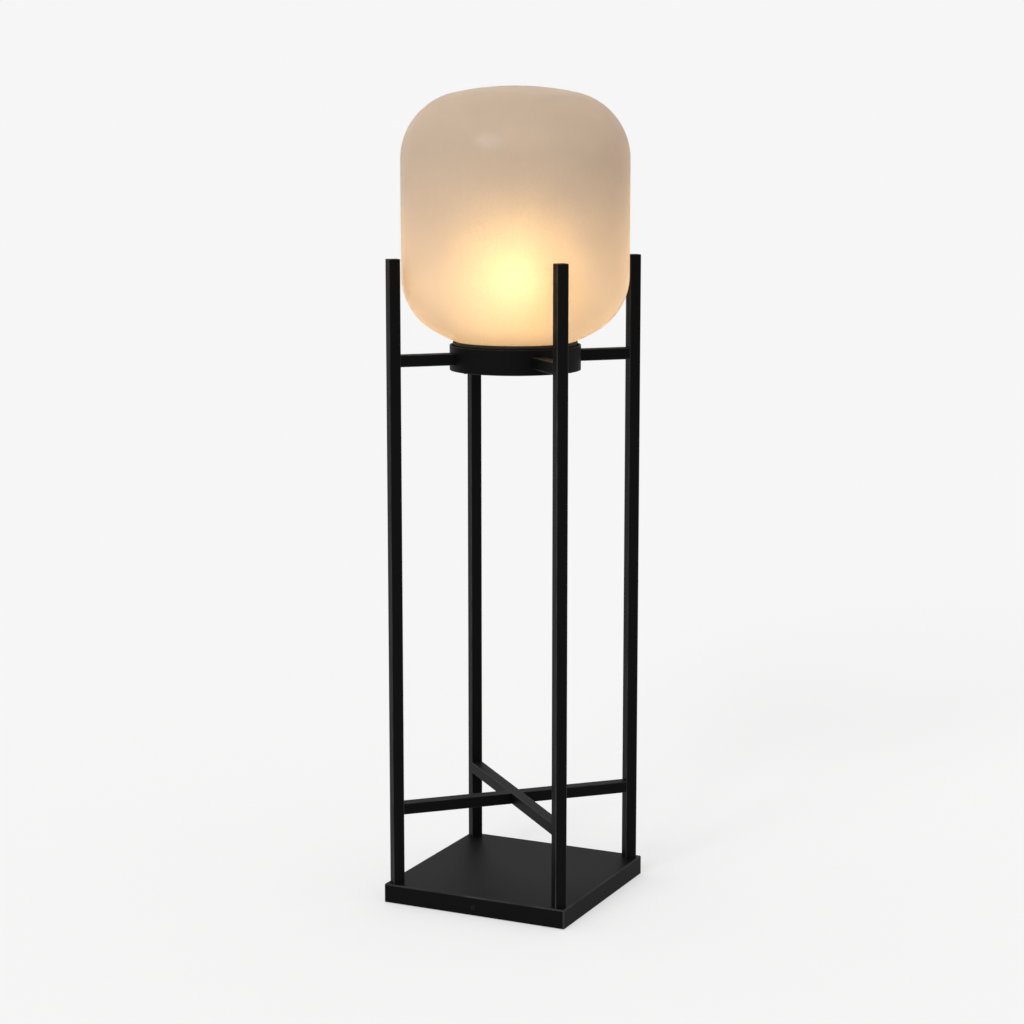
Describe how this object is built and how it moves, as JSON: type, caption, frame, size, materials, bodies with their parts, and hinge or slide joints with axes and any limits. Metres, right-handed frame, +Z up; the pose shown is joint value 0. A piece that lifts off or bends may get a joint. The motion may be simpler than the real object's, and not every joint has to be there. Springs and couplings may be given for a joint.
{
  "type": "floor lamp",
  "caption": "Lantern floor lamp: frosted glass drum shade in a ring between four tall square black legs on a weighted square base, tied by short arms and a flat cross brace.",
  "frame": {"origin": "middle of the base on the floor, under the feet", "axes": "+Z up; the base's sides lie along X and Y; the legs stand on its diagonals; the mains inlet is in the rear (+Y) side"},
  "size_m": [0.3459, 0.346, 1.2467],
  "materials": {
    "black_paint": "satin black powder coat",
    "plate_steel": "grey primer on sheet steel",
    "ballast_iron": "hot rolled plate, oiled",
    "zinc_steel": "bright zinc plating",
    "black_screws": "blackened steel",
    "rubber": "matte black",
    "terminal_plastic": "moulded",
    "brass": "satin",
    "lead_brown": "silicone sleeve",
    "lead_blue": "silicone sleeve",
    "lead_green": "silicone sleeve, green with yellow",
    "holder_plastic": "pressed black thermoset",
    "ceramic": "glazed white",
    "cap_metal": "rolled, bright",
    "insulator_glass": "dark fused glass",
    "stem_glass": "clear",
    "bulb_glass": "frosted, lit",
    "filament": "lit",
    "frosted_glass": "acid-frosted, warm beige"
  },
  "bodies": {
    "frame": {"base_cover": "black_paint", "leg_right": "black_paint", "leg_back": "black_paint", "leg_left": "black_paint", "leg_front": "black_paint", "leg_cap_right": "black_paint", "leg_cap_back": "black_paint", "leg_cap_left": "black_paint", "leg_cap_front": "black_paint", "brace_long": "black_paint", "brace_left": "black_paint", "brace_right": "black_paint", "arm_right": "black_paint", "arm_back": "black_paint", "arm_left": "black_paint", "arm_front": "black_paint", "support_ring": "black_paint", "ring_under_plate": "black_paint", "shade_tray": "black_paint", "bottom_plate": "plate_steel", "plate_brackets": "plate_steel", "leg_plug_right": "plate_steel", "leg_plug_back": "plate_steel", "leg_plug_left": "plate_steel", "leg_plug_front": "plate_steel", "ballast_plate": "ballast_iron", "earth_stud": "zinc_steel", "leg_rods": "zinc_steel", "leg_nuts": "zinc_steel", "leg_washers": "zinc_steel", "holder_rod": "zinc_steel", "holder_nut": "zinc_steel", "holder_washer": "zinc_steel", "side_screws": "black_screws", "under_plate_screws": "black_screws", "tray_screws": "black_screws", "foot_back_right": "rubber", "foot_back_left": "rubber", "foot_front_left": "rubber", "foot_front_right": "rubber", "cord_grommet": "rubber", "rim_seal": "rubber", "terminal_block": "terminal_plastic", "terminal_screws": "brass", "holder_screw_shell": "brass", "holder_contact": "brass", "lead_live": "lead_brown", "lead_neutral": "lead_blue", "lead_earth": "lead_green", "holder_cup": "holder_plastic", "holder_shell": "holder_plastic", "holder_core": "ceramic"},
    "shade": {"glass_shade": "frosted_glass"},
    "bulb": {"bulb_globe": "bulb_glass", "bulb_cap": "cap_metal", "bulb_insulator": "insulator_glass", "bulb_contact": "cap_metal", "bulb_stem": "stem_glass", "bulb_filaments": "filament"}
  },
  "joints": [
    {"name": "shade_lift", "type": "slide", "parent": "frame", "child": "shade", "axis": [0, 0, 1], "range_m": [0, 0.2]},
    {"name": "bulb_out", "type": "slide", "parent": "frame", "child": "bulb", "axis": [0, 0, 1], "range_m": [0, 0.04]}
  ]
}
